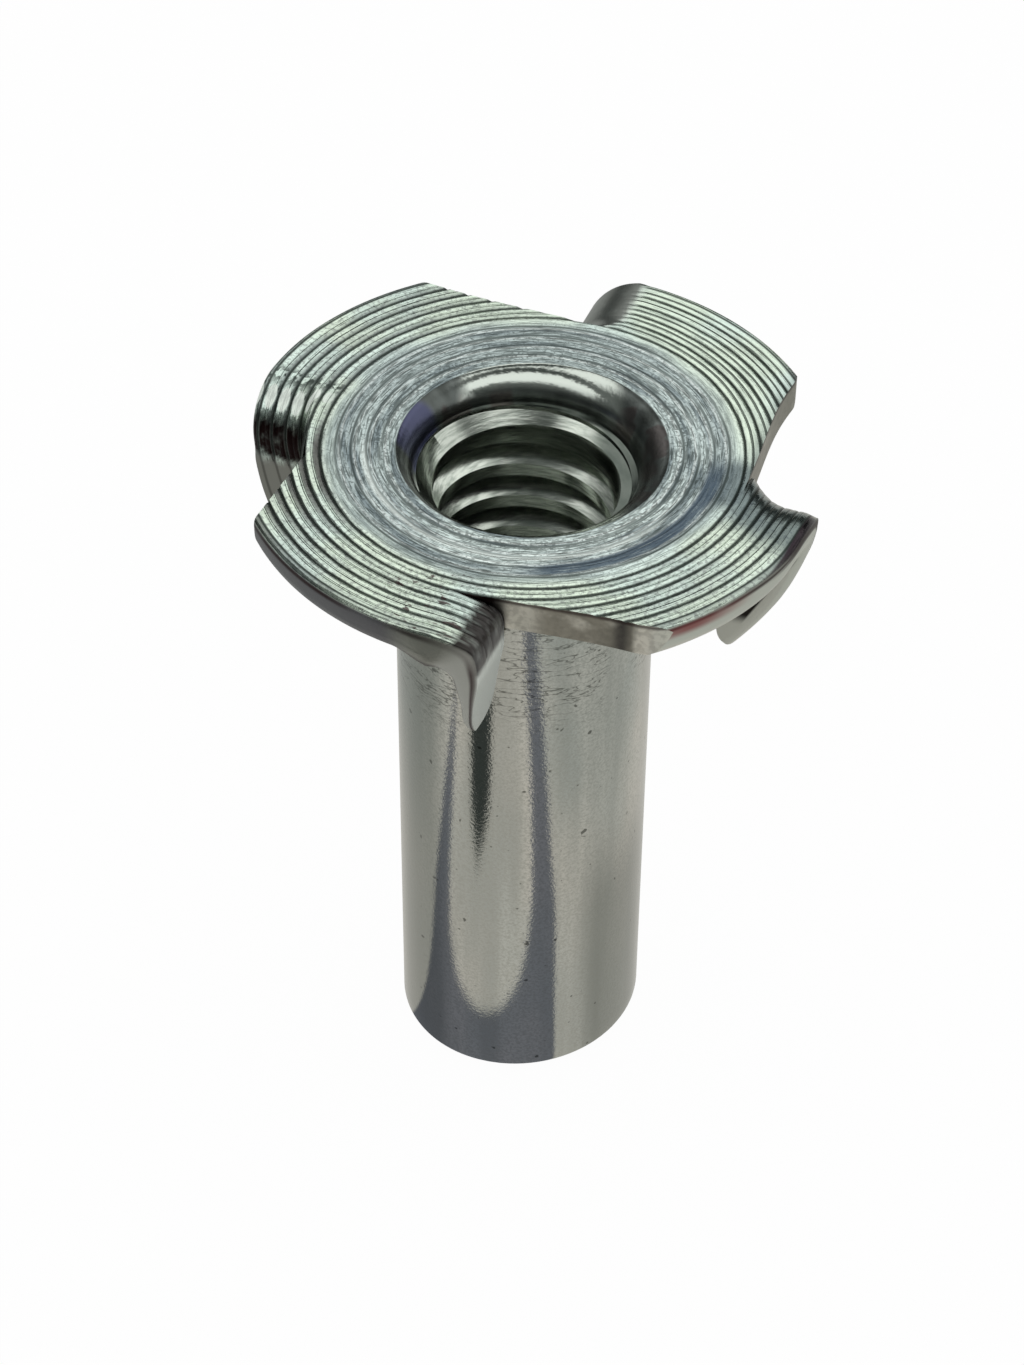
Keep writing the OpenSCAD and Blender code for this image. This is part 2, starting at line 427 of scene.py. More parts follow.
def build_flange(skin, ringed, sheared):
    """Lobes, prongs and the walls of the slits between them."""
    quarter = math.pi / 2
    for i, prong in enumerate(PRONGS):
        follow = PRONGS[(i + 1) % 4]
        j0 = prong.row
        # the band inside the slit, over and under
        for rows in (np.arange(0, j0 + 1), np.arange(LAST - j0, LAST + 1)):
            r = SECTION_R[rows]
            end = np.full_like(r, prong.end)
            root = between(prong.fold_angle(r), end, COLS_ROOT)
            rest = between(end, quarter + follow.fold_angle(r), COLS_LOBE)
            angle = prong.turn + np.concatenate([root, rest[:, 1:]], 1)
            r, z = r[:, None], SECTION_Z[rows][:, None]
            skin.add(lay_flat(angle, r, z), polar(r, angle, z), ringed)
        # the lobe and the prong, from the top face round the rim to the underside
        rows = np.arange(j0, LAST - j0 + 1)
        r, z = SECTION_R[rows], SECTION_Z[rows]
        lobe = between(prong.lobe_angle(r, z), quarter + follow.fold_angle(r), COLS_LOBE)
        lobe = prong.turn + lobe
        blade = between(prong.fold_angle(r), prong.prong_angle(r, z), COLS_PRONG)
        r, z = r[:, None], z[:, None]
        skin.add(lay_flat(lobe, r, z), polar(r, lobe, z), ringed)
        skin.add(lay_folded(prong, blade, r, z), polar(r, prong.turn + blade, z), ringed,
                 prong.wear_and_shade(r, r * np.sin(blade)))
        # the slit's two walls, from the fold's start round its end to the rim
        r0 = SECTION_R[j0]
        down = np.linspace(0, 1, WALL_STEPS + 1)[:, None]
        for steps, cut in ((COLS_ROOT, prong.lobe_angle), (COLS_PRONG, prong.prong_angle)):
            root = np.linspace(prong.fold_angle(r0), prong.end, steps + 1)
            row = np.concatenate([np.full(steps + 1, j0), np.arange(j0 + 1, HALF + 1)])
            r = SECTION_R[row] + (SECTION_R[LAST - row] - SECTION_R[row]) * down
            z = SECTION_Z[row] + (SECTION_Z[LAST - row] - SECTION_Z[row]) * down
            rest = cut(r[:, steps + 1:], z[:, steps + 1:])
            angle = np.concatenate([root + 0 * z[:, :steps + 1], rest], 1)
            across = r * np.sin(angle)
            if cut == prong.lobe_angle:
                points = lay_flat(prong.turn + angle, r, z)
                # painted shade on the lobe's wall near the slit's end
                end_shade = smooth(1 - (across - r0 * math.sin(prong.end)) / 0.35)
                wear_and_shade = end_shade[..., None] * (0, prong.painted_shade[2], 0)
            else:
                points = lay_folded(prong, angle, r, z)
                wear_and_shade = prong.wear_and_shade(r, across)
            skin.add(points, polar(r, prong.turn + angle, z), sheared, wear_and_shade)


def ring_angles():
    """Directions of the columns at INNER_ROW, all the way round and closed."""
    out = []
    for i, prong in enumerate(PRONGS):
        follow = PRONGS[(i + 1) % 4]
        low = prong.fold_angle(INNER_ROW)
        high = math.pi / 2 + follow.fold_angle(INNER_ROW)
        root = np.linspace(low, prong.end, COLS_ROOT + 1)
        rest = np.linspace(prong.end, high, COLS_LOBE + 1)
        out.append(prong.turn + np.concatenate([root[:-1], rest[:-1]]))
    out = np.concatenate(out)
    return np.concatenate([out, [out[0] + TAU]])


def revolve(angles, r, z, shift):
    """A profile of radii and heights carried round the axis. shift runs from
    0, about the barrel's axis, to 1, about the rings' centre."""
    return polar(r[:, None], angles, z[:, None]) + shift[:, None, None] * (*RING_SHIFT, 0)


def arc(cx, cz, r, a0, a1, n):
    """Points of a circular arc in the profile's plane."""
    t = np.radians(np.linspace(a0, a1, n + 1))
    return np.stack([cx + r * np.cos(t), cz + r * np.sin(t)], -1)


def thread_r(angle, z):
    """Radius of the threaded wall: a V with flat crests and roots, cut along
    a right-handed helix. The crests are worn wider towards the mouth, and the
    last groove runs out before it reaches it."""
    phase = (z - CREST_Z) / PITCH - (angle - math.radians(CREST_TURN)) / TAU
    off = np.abs(phase - np.round(phase)) * PITCH
    flank = np.clip((off - CREST_HALF) / (PITCH / 2 - CREST_HALF - ROOT_HALF), 0, 1)
    groove_z = z + (np.floor(phase) + 0.5 - phase) * PITCH
    flank = flank * (1 - smooth((groove_z - RUN_OUT[0]) / (RUN_OUT[1] - RUN_OUT[0])))
    crest = CREST_R + (SEAT_FOOT_R - CREST_R) * smooth((z - SEAT_FOOT_Z) / 0.85 + 1)
    return crest + (ROOT_R - crest) * flank


def sway(angle, middle, swing, high):
    """A height that rises and falls by swing once in a turn, and is highest
    in the direction of high degrees."""
    return middle + swing * np.cos(angle - math.radians(high))


def mouth_profile():
    """Radii and heights of the top face inward of the slits, and of the bell
    from its crease down to the foot of its wall."""
    face_r = np.linspace(INNER_ROW, CREASE_R, FACE_ROWS)
    face = np.stack([face_r, NUT_H + relief(face_r) + lift(face_r)], -1)
    step = 0.02             # the bell starts this far in from the crease and down
    start = math.degrees(math.acos((CREASE_R - step - WALL_R - BELL_R) / BELL_R))
    bell = arc(WALL_R + BELL_R, 0, BELL_R, start, 180, 14)
    bell[:, 1] += face[-1, 1] - step - bell[0, 1]
    return np.concatenate([face, bell])


def mouth_foot(angles):
    """Rows of points under the bell: the ledge, the small step at its inner
    edge, and the conical seat down to the thread. All sway with the thread."""
    wall = sway(angles, *LEDGE_Z)
    seat = sway(angles, *SEAT_Z)
    seat_r = sway(angles, *SEAT_R)
    step = sway(angles, *SEAT_STEP)
    foot_r = np.maximum(SEAT_FOOT_R, thread_r(angles, SEAT_FOOT_Z))
    rows = [(WALL_R, wall), (seat_r + 0.01, seat + step), (seat_r, seat), (foot_r, SEAT_FOOT_Z)]
    return np.stack([polar(r, angles, z) for r, z in rows])


def build_middle(skin, ringed, bell, threaded, drawn):
    """All that is turned about the axis: the mouth, the thread, the open end,
    the barrel and the flange's underside as far as the slits."""
    fine = ring_angles()
    coarse = fine[::3]
    profile = mouth_profile()
    shift = np.clip((profile[:, 0] - WALL_R) / (CREASE_R - WALL_R), 0, 1)
    points = revolve(fine, profile[:, 0], profile[:, 1], shift)
    flat = polar(profile[:, :1], fine, profile[:, 1:] - NUT_H)
    skin.add(points[:FACE_ROWS], flat[:FACE_ROWS], ringed)
    skin.add(points[FACE_ROWS - 1:], flat[FACE_ROWS - 1:], bell)
    foot = mouth_foot(fine)
    wall = np.stack([points[-1], foot[0]])
    skin.add(wall, wall - TOP, bell)
    skin.add(foot, foot - TOP, threaded)
    # a low ring joins the seat's columns to the thread's
    ring = polar(thread_r(coarse, THREAD_TOP), coarse, THREAD_TOP)
    skin.tris(foot[-1], ring, foot[-1] - TOP, ring - TOP, threaded)
    # thread: rows follow the helix and stop at both ends
    turns = int((THREAD_TOP - THREAD_END) / PITCH) + 5
    edges = np.array([-0.5, -0.5 + ROOT_HALF / PITCH, -0.33, -CREST_HALF / PITCH, 0,
                      CREST_HALF / PITCH, 0.33, 0.5 - ROOT_HALF / PITCH])
    rows = np.concatenate([edges + k for k in range(turns)])
    helix = (coarse - coarse[0]) / TAU * PITCH
    base = CREST_Z - PITCH * (turns - 3) + (coarse[0] - math.radians(CREST_TURN)) / TAU * PITCH
    z = base + rows[:, None] * PITCH + helix[None, :]
    z = np.clip(z, THREAD_END, THREAD_TOP)
    points = polar(thread_r(coarse, z), coarse, z)
    skin.add(points, points - TOP, threaded)
    # open end, barrel, neck and underside
    ring = polar(thread_r(coarse, THREAD_END), coarse, THREAD_END)
    foot_r = BARREL_R + BARREL_FLARE
    end = np.concatenate([[[END_BORE_R, 0.0], [foot_r - END_ROUND, 0.0]],
                          arc(foot_r - END_ROUND, END_ROUND, END_ROUND, -90, 0, 6)[1:]])
    side_z = np.linspace(END_ROUND, NUT_H - SHEET - NECK_FILLET, 40)[1:]
    side = np.stack([BARREL_R + BARREL_FLARE * (1 - side_z / side_z[-1]), side_z], -1)
    end = np.concatenate([end, side])
    end_points = revolve(coarse, end[:, 0], end[:, 1], np.zeros(len(end)))
    skew = 1 - smooth(end_points[..., 2] / END_FADE)
    end_points[..., 2] += sway(coarse, END_DROP, END_TILT, 0) * skew
    chamfer = np.stack([ring, end_points[0]])
    skin.add(chamfer, chamfer, threaded)
    skin.add(end_points, end_points, drawn)
    neck = arc(BARREL_R + NECK_FILLET, NUT_H - SHEET - NECK_FILLET, NECK_FILLET, 180, 90, 7)[1:]
    grow = np.linspace(0, 1, len(neck) + 1)[1:]
    neck_points = revolve(fine, neck[:, 0], neck[:, 1], grow)
    neck_points[..., 2] += (lift(neck[:, 0]) * grow)[:, None]
    skin.tris(neck_points[0], end_points[-1], neck_points[0], end_points[-1], drawn)
    skin.add(neck_points, neck_points, drawn)
    under_r = np.linspace(BARREL_R + NECK_FILLET, INNER_ROW, 6)
    under_z = NUT_H - SHEET + lift(under_r)
    under = revolve(fine, under_r, under_z, np.ones_like(under_r))
    skin.add(under, under - TOP, drawn)


# ---------------------------------------------------------------- materials
# Places are in millimetres. On the flange they are those on the flat blank,
# with z from its top face, so that a pattern goes round the folds; elsewhere
# they are those on the nut, with z from its open end.

# what each short name adds: a node, its settings, the inputs that the values
# go to, and the output that comes back, or None for all of them
KINDS = {
    "attribute": ("ShaderNodeAttribute", {}, (), 1),
    "background": ("ShaderNodeBackground", {}, ("Color", "Strength"), 0),
    "blend": ("ShaderNodeMix", {"data_type": "RGBA"}, (0, 6, 7), 2),
    "bump": ("ShaderNodeBump", {}, ("Distance", "Height"), 0),
    "camera_ray": ("ShaderNodeLightPath", {}, (), "Is Camera Ray"),
    "diffuse": ("ShaderNodeBsdfDiffuse", {}, ("Color",), 0),
    "direction": ("ShaderNodeTexCoord", {}, (), 0),
    "emission": ("ShaderNodeEmission", {}, ("Color",), 0),
    "glossy_ray": ("ShaderNodeLightPath", {}, (), "Is Glossy Ray"),
    "join": ("ShaderNodeCombineXYZ", {}, (0, 1, 2), 0),
    "mix": ("ShaderNodeMixShader", {}, (0, 1, 2), 0),
    "noise": ("ShaderNodeTexNoise", {}, ("Vector", "Scale", "Detail"), 0),
    "parts": ("ShaderNodeSeparateXYZ", {}, (0,), None),
    "place": ("ShaderNodeTexCoord", {}, (), 3),
    "ramp": ("ShaderNodeMapRange", {"interpolation_type": "SMOOTHSTEP"},
             ("Value", "From Min", "From Max"), 0),
    "scale": ("ShaderNodeVectorMath", {"operation": "MULTIPLY"}, (0, 1), 0),
    "surface": ("ShaderNodeOutputMaterial", {}, ("Surface",), None),
    "turn": ("ShaderNodeVectorRotate", {"rotation_type": "Z_AXIS"}, ("Vector", "Angle"), 0),
    "world": ("ShaderNodeOutputWorld", {}, ("Surface",), None),
}


def linear(hex_colour):
    """sRGB hex to a linear colour with full alpha."""
    parts = [int(hex_colour[k:k + 2], 16) / 255 for k in (1, 3, 5)]
    return tuple(c / 12.92 if c <= 0.04045 else ((c + 0.055) / 1.055) ** 2.4 for c in parts) + (1,)


def add_node(tree, kind, *values, **settings):
    """Adds a node and gives back its output. kind is a name from KINDS or else
    an operation on numbers. Of the values, another node's output is linked, a
    string is a colour, and anything else is set as it is."""
    operation = ("ShaderNodeMath", {"operation": kind}, (0, 1, 2), 0)
    name, fixed, inputs, output = KINDS.get(kind, operation)
    made = tree.nodes.new(name)
    for key, value in {**fixed, **settings}.items():
        setattr(made, key, value)
    for place, value in zip(inputs, values):
        if isinstance(value, Output):
            value.to(made, place)
        else:
            made.inputs[place].default_value = linear(value) if isinstance(value, str) else value
    if output is None:
        return [Output(tree, socket) for socket in made.outputs]
    return Output(tree, made.outputs[output])


def arithmetic(operation, other_first=False):
    """A sum, product or the like of an output and a second value."""
    def apply(self, other):
        pair = (other, self) if other_first else (self, other)
        return add_node(self.tree, operation, *pair)
    return apply


class Output:
    """What a node puts out. Arithmetic on it adds nodes."""
    __add__, __radd__ = arithmetic("ADD"), arithmetic("ADD", True)
    __sub__, __rsub__ = arithmetic("SUBTRACT"), arithmetic("SUBTRACT", True)
    __mul__, __truediv__ = arithmetic("MULTIPLY"), arithmetic("DIVIDE")

    def __init__(self, tree, socket):
        self.tree = tree
        self.socket = socket

    def __abs__(self):
        return add_node(self.tree, "ABSOLUTE", self)

    def to(self, made, place):
        """Links it to an input of another node."""
        self.tree.links.new(self.socket, made.inputs[place])


def noise(node, place, size_mm, detail=2.0, stretch=(1, 1, 1)):
    """Noise whose grains are about size_mm wide, from places in metres."""
    scaled = node("scale", place, tuple(k / (size_mm * MM) for k in stretch))
    return node("noise", scaled, 1.0, detail)


def parts_mm(node, place):
    """The three coordinates of a place in metres, as numbers in millimetres."""
    return node("parts", node("scale", place, (1 / MM,) * 3))


def radius_of(node, x, y):
    """Distance from the axis."""
    return node("SQRT", x * x + y * y)


def near(node, value, middle, width):
    """1 where value is at middle, falling to 0 within width on both sides."""
    return node("ramp", abs(value - middle), width, 0.0)


RIGHT = (0.93, 0.37)    # the camera's right, seen from above


def rightward(x, y):
    """How far a place lies to the camera's right."""
    return x * RIGHT[0] + y * RIGHT[1]


def finish(name, rough):
    """A new metal material, what adds nodes to it, and its shader."""
    material = bpy.data.materials.new(name)
    material.use_nodes = True
    shader = material.node_tree.nodes["Principled BSDF"]
    shader.inputs["Metallic"].default_value = 1.0
    shader.inputs["Roughness"].default_value = rough
    return material, partial(add_node, material.node_tree), shader


def emptied(block):
    """Clears the nodes of a material or world. What adds new ones comes back."""
    block.use_nodes = True
    block.node_tree.nodes.clear()
    return partial(add_node, block.node_tree)


def turned_rings():
    """Bright zinc over the turned rings of the flange: grooves dark with dirt
    and painted shade, broken dashes of fine marks along them, yellow and blue
    tints, painted shade and highlights on the lands, a dull rim with painted
    shade to the left and a dark line over it, and folds that are burnished and
    carry painted shade. The grain is drawn coarser than the plating's own, so
    that it shows."""
    material, node, shader = finish("zinc_plated_turned_steel", 0.2)
    flat = node("attribute", attribute_name="blank")
    # what the mesh holds of each place: how rubbed it is, and how dark its painted shade
    worn_and_shaded = node("attribute", attribute_name="wear_and_shade")
    rubbed, painted_shade = node("parts", worn_and_shaded)[:2]
    x, y, z = parts_mm(node, flat)
    r = radius_of(node, x, y)
    waver = noise(node, flat, 2.2, 1.0)
    ring_r = r + (waver - 0.5) * 0.06
    # grooves one pitch apart, each with a finer one between
    turn = (ring_r - RINGS[0]) / RING_PITCH
    outside = node("ramp", r, 6.08, 6.2)
    phase = turn - node("ROUND", turn)
    line = node("ramp", abs(phase), 0.15, 0.03)
    groove = line * outside
    half = turn + 0.5
    off = abs(half - node("ROUND", half))
    fine_groove = node("ramp", off, 0.1, 0.02) * outside
    # painted shade on each land's slope down to the next groove
    slope_shade = node("ramp", phase, 0.5, 0.0) * node("ramp", phase, -0.1, 0.1)
    # marks drawn out along the rings: the direction turns slowly, the radius fast
    ahead = (x / r, y / r)
    back = node("ramp", ahead[0] * 0.6 + ahead[1], 0.45, 0.9)

    def drawn_out(turns, across, detail):
        """Noise that repeats turns times round and across times a millimetre."""
        at = node("join", ahead[0] * turns, ahead[1] * turns, ring_r * across)
        return node("noise", at, 1.0, detail)

    bands = drawn_out(1.5, 3.2, 2.0)
    marks = drawn_out(5.0, 14.0, 2.0)
    streaks = drawn_out(11.0, 26.0, 2.0)
    speckle = noise(node, flat, 0.09, 2.0)
    top = node("ramp", z, -0.13, -0.06)
    front = 1.0 - back
    # beside two of the folds: painted highlights as white ovals, with chatter marks, on one, and a
    # painted dark reflection in slate on the other
    left_fold = node("ramp", x, -6.1, -6.8)
    oval = radius_of(node, (y + 0.26) * 3.6, off * 2.7)
    oval_highlight = node("ramp", oval, 1.1, 0.85) * left_fold
    chatter = near(node, y, 0.3, 0.45) * node("ramp", x, -5.9, -6.5)
    chatter = chatter * node("ramp", noise(node, flat, 0.22, 2.0), 0.44, 0.54)
    slant = y + (x - 7.0) * 0.45
    dark_reflection = node("ramp", slant, -2.0, -0.6) * node("ramp", x, 5.7, 6.7)
    root = radius_of(node, x - 6.2, y - 0.6)
    dark_reflection = node("MAXIMUM", dark_reflection, node("ramp", root, 1.6, 0.7))
    # lands: yellow to blue-white, bluer and duller inside the slits and behind
    tint = noise(node, flat, 3.5, 2.0)
    inner = node("ramp", r + waver * 0.4, 6.6, 5.8)
    green = node("blend", node("ramp", tint, 0.42, 0.6), "#eefbea", "#e9f9f1")
    land = node("blend", inner, green, "#e9f6f4")
    dull = node("ramp", bands, 0.45, 0.62) * (0.3 + inner)
    blue = near(node, r, 5.65, 0.45) * node("ramp", tint, 0.62, 0.4)
    dull = node("MAXIMUM", dull, blue * 0.7)
    behind = node("ramp", x * 0.3 - y, -1.0, -5.0)
    dull = node("MAXIMUM", dull, behind * inner * 0.75)
    land = node("blend", dull * 0.55, land, "#66737c")
    # fine marks and grain, most of them inside the slits
    fine = node("ramp", streaks, 0.42, 0.66) * (0.25 + inner * 0.6)
    fine = node("MAXIMUM", fine, node("ramp", marks, 0.52, 0.68) * (inner * 0.75))
    grain = node("ramp", speckle, 0.5, 0.66) * (0.15 + inner * 0.45)
    second = 0.22 + back * 0.68
    faint = line * node("ramp", bands, 0.2, 0.45)
    grain = node("MAXIMUM", grain, faint * 0.85)
    # inside, a painted highlight as a crisp bright line beside each faint groove, and painted shade
    # at the sides
    line_highlight = near(node, phase, -0.24, 0.15) * inner
    land = node("blend", line_highlight * 0.7, land, "#f8fefc")
    sides = node("ramp", abs(rightward(*ahead) - 0.15), 0.6, 0.95) * inner
    land = node("blend", sides * 0.3, land, "#66737c")
    # outside, pebbled lands with painted shade on the slope to each groove, and broad painted shade
    # on one lobe
    pebble = node("ramp", noise(node, flat, 0.13, 2.0), 0.5, 0.62)
    pebble = pebble * 0.5 * (outside * front)
    slope_shade = slope_shade * (outside * front) * node("ramp", tint, 0.3, 0.5)
    worst = node("ramp", ahead[0], -0.45, -0.85) * node("ramp", y, -1.0, -2.5)
    broad_shade = node("ramp", phase, 0.5, 0.38) * node("ramp", phase, -0.05, 0.05)
    broad_shade = broad_shade * worst * outside
    land = node("blend", pebble, land, "#8b8d8d")
    land = node("blend", slope_shade * 0.8, land, "#64676a")
    land = node("blend", broad_shade * 0.85, land, "#4f4a4b")
    # painted dark reflection beside one fold, painted highlight ovals beside the other
    land = node("blend", dark_reflection * 0.8, land, "#56626a")
    land = node("blend", oval_highlight, land, "#f2fbf2")
    # dirt in the grooves and marks, with painted shade in the grooves as well, and none where they
    # are rubbed away
    dirt_and_shade = node("MAXIMUM", groove, fine_groove * second)
    dirt_and_shade = node("MAXIMUM", dirt_and_shade, node("MAXIMUM", fine, grain))
    mouth = near(node, r, 4.45, 0.6) * node("ramp", speckle, 0.5, 0.58)
    dirt_and_shade = node("MAXIMUM", dirt_and_shade, mouth * 0.75)
    dirt_and_shade = node("MAXIMUM", dirt_and_shade * (1.0 - oval_highlight), faint * (inner * 0.85))
    dirt_and_shade = node("MAXIMUM", dirt_and_shade, node("MAXIMUM", groove, chatter))
    dirt_and_shade = dirt_and_shade * (1.0 - rubbed)
    face = node("blend", dirt_and_shade * 0.88, land, "#27302b")
    # painted shade as one slate ring on the right of the mouth, and a painted highlight as a bright
    # ring within it
    ring = node("ramp", abs(ring_r - 5.48), 0.3, 0.14)
    ring = ring * node("ramp", x, 1.2, 2.6) * node("ramp", y, 2.2, 0.2)
    ring = ring * node("ramp", marks, 0.15, 0.5)
    face = node("blend", ring * 0.9, face, "#4f5d6c")
    ring = near(node, ring_r, 5.0, 0.14) * node("ramp", y, -1.0, -3.0)
    face = node("blend", ring * 0.7, face, "#f4fbf8")
    # brown tears beside one fold, and a dark band along one lobe's edge
    torn = node("ramp", drawn_out(20.0, 7.0, 2.0), 0.6, 0.66)
    torn = torn * node("ramp", radius_of(node, x, y + 7.4), 1.7, 1.2)
    face = node("blend", torn * 0.85, face, "#4a3336")
    edge = r - (8.73 + node("ramp", y, -3.5, -0.8) * -0.17)
    edge = node("ramp", edge, -0.04, 0.04) * node("ramp", x, 5.6, 6.6)
    edge = edge * node("ramp", y, -5.5, -3.5)
    face = node("blend", edge * 0.9, face, "#33232c")
    # folds: bare metal where they are rubbed, then painted shade in blotches, paler in the grooves
    dark_line = groove * 0.55 * left_fold
    bare = node("blend", dark_line, node("blend", left_fold, "#d3d9d3", "#96958f"), "#3a3734")
    face = node("blend", rubbed, face, bare)
    blotch = node("ramp", noise(node, flat, 0.5, 3.0), 0.25, 0.5)
    pale = groove * (0.7 - rubbed)
    black = painted_shade * (1.0 - node("MAXIMUM", pale, 0.0))
    black = black * (0.75 + blotch * 0.25)
    face = node("blend", black, face, "#231717")
    # rim: a red-brown line under its top edge, over the dull side of the sheet, which painted shade
    # darkens towards the left
    red = near(node, z, -0.17, 0.13) * node("ramp", tint, 0.3, 0.5)
    low = node("ramp", z, -0.4, -0.25) * (node("ramp", x, 5.6, 6.6) * node("ramp", y, -3.2, -1.2))
    red = node("MAXIMUM", red, low)
    side = node("blend", node("ramp", x, 2.5, -1.0), "#e4e5dc", "#77767a")
    # a painted shadow as a dark slot on the inner face of one prong, and the inner face of another
    slot_shadow = node("ramp", z, -0.9, -1.0) * node("ramp", x, 5.8, 6.2)
    slant = x + y * 0.55
    slot_shadow = slot_shadow * node("ramp", slant, 9.46, 9.36)
    slot_shadow = slot_shadow * (node("ramp", y, 1.7, 2.2) * node("ramp", y, 4.9, 4.4))
    side = node("blend", slot_shadow, side, "#2f2c28")
    # painted contact shadow: this prong's inner face is darker along its lower edge
    finger = node("ramp", y, -6.0, -6.8) * node("ramp", x, -1.2, 0.0)
    side = node("blend", finger, side,
                node("blend", node("ramp", z, -0.8, -0.97), "#a9aaa2", "#63605c"))
    rim = node("blend", red * 0.9, side, "#30191a")
    blush = near(node, z, -0.3, 0.3) * near(node, x - 6.9, 0.0, 1.6)
    blush = blush * node("ramp", y, -3.0, -4.0)
    rim = node("blend", blush * 0.85, rim, "#a04e50")
    node("blend", top, rim, face).to(shader, "Base Color")
    # oxide on the rubbed places scatters light as no bare metal does; the painted highlight ovals are
    # made matt too
    matt = rubbed * node("ramp", y, -5.0, -6.0)
    matt = node("MAXIMUM", matt * 0.6, oval_highlight * 0.75)
    (1.0 - matt).to(shader, "Metallic")
    rough = 0.15 + dirt_and_shade * 0.25 + (1.0 - top) * 0.2
    rough = rough + node("MAXIMUM", rubbed, painted_shade) * 0.15
    rough.to(shader, "Roughness")
    height = marks * 0.7 - fine_groove * 0.8 + streaks * 0.5 + speckle * 0.3
    height = height * (1.05 - rubbed)
    node("bump", 0.018 * MM, height).to(shader, "Normal")
    return material


def smooth_bell():
    """The burnished bell: bright under its crease, a painted dark reflection in
    slate, faintly red-brown, on the mouth's wall and at both sides, and a
    blue-violet patch on one side."""
    material, node, shader = finish("zinc_plated_burnished_steel", 0.14)
    place = node("place")
    x, y, z = parts_mm(node, place)
    bars = noise(node, place, 1.0, 2.0, (1, 1, 0.15))
    # painted dark reflection: slate deeper in the mouth and at both sides of it
    deep = node("ramp", z, NUT_H - 0.35, NUT_H - 0.75)
    dark_reflection = node("blend", node("ramp", bars, 0.35, 0.65), "#2f3332", "#6d7271")
    dark_reflection = node("blend", node("ramp", bars, 0.55, 0.62) * 0.7, dark_reflection, "#40262a")
    right = rightward(x, y)
    deep = node("MAXIMUM", deep, node("ramp", right, 2.5, 3.1))
    deep = node("MAXIMUM", deep, node("ramp", right, -1.7, -2.2))
    colour = node("blend", deep * 0.92, "#dde3dc", dark_reflection)
    ahead = x + 3.45
    aside = (y + 0.2) * 0.75
    patch = node("ramp", radius_of(node, ahead, aside), 0.95, 0.7)
    colour = node("blend", patch * 0.9, colour, "#5c5e7c")
    colour.to(shader, "Base Color")
    (0.12 + deep * 0.15).to(shader, "Roughness")
    node("bump", 0.008 * MM, noise(node, place, 0.2, 3.0)).to(shader, "Normal")
    return material


def cut_thread():
    """Thread flanks with fine scratches along the helix, and painted shade on the right at the top of
    the thread.
    """
    material, node, shader = finish("zinc_plated_cut_thread", 0.17)
    place = node("place")
    streak = noise(node, place, 0.07, 2.0, (0.12, 0.12, 1))
    x, y, z = parts_mm(node, place)
    right = rightward(x, y)
    # painted shade on the right, at the top of the thread
    dull = node("ramp", right, 1.7, 2.5) * node("ramp", z, 21.95, 22.15)
    colour = node("blend", node("ramp", streak, 0.35, 0.7), "#dfe4db", "#b3bab1")
    colour = node("blend", dull * 0.85, colour, "#4a524d")
    colour.to(shader, "Base Color")
    node("bump", 0.004 * MM, streak).to(shader, "Normal")
    return material


def drawn_barrel():
    """Satin drawn steel: a leathery grain, drawn coarser than it is so that it
    shows, fine creases round it under the flange, upright clouds and stripes,
    scattered pits, and flanks darkened by painted shade."""
    material, node, shader = finish("zinc_plated_drawn_steel", 0.09)
    place = node("place")
    x, y, z = parts_mm(node, place)
    leather = noise(node, place, 0.09, 3.0)
    crease = noise(node, place, 0.55, 3.0, (0.45, 0.45, 2.0))
    high = node("ramp", z, 15.5, 17.5) * node("ramp", z, 21.8, 20.0)
    high = high * node("ramp", noise(node, place, 2.2, 1.0), 0.32, 0.5)
    line = node("ramp", abs(crease - 0.5), 0.026, 0.0)
    right = rightward(x, y)
    left_high = node("ramp", z, 14.5, 17.0) * node("ramp", z, 22.7, 21.7)
    left_high = left_high * node("ramp", right, -0.9, -1.7)
    high = node("MAXIMUM", high, left_high)
    line = line * high
    spot = node("ramp", noise(node, place, 0.3, 1.0), 0.27, 0.22)
    cloud = noise(node, place, 2.5, 2.0, (1, 1, 0.4))
    stripe = noise(node, place, 1.1, 2.0, (1, 1, 0.06))
    colour = node("blend", node("ramp", cloud, 0.35, 0.65), "#dcdad3", "#cbcec9")
    colour = node("blend", node("ramp", stripe, 0.4, 0.65) * 0.55, colour, "#a9aca7")
    colour = node("blend", node("ramp", leather, 0.35, 0.7) * 0.7, colour, "#b2b3ac")
    # painted shade: the flanks to the camera's left and right are darker
    sides = node("ramp", right, 1.6, 2.6) * node("ramp", z, 12.0, 7.0)
    sides = node("MAXIMUM", sides, node("ramp", right, -2.2, -3.0))
    colour = node("blend", sides * 0.7, colour, "#848883")
    colour = node("blend", node("MAXIMUM", line, spot) * 0.75, colour, "#4e4f49")
    colour.to(shader, "Base Color")
    height = leather * 0.38 + crease * (high * 0.5)
    node("bump", 0.012 * MM, height).to(shader, "Normal")
    return material


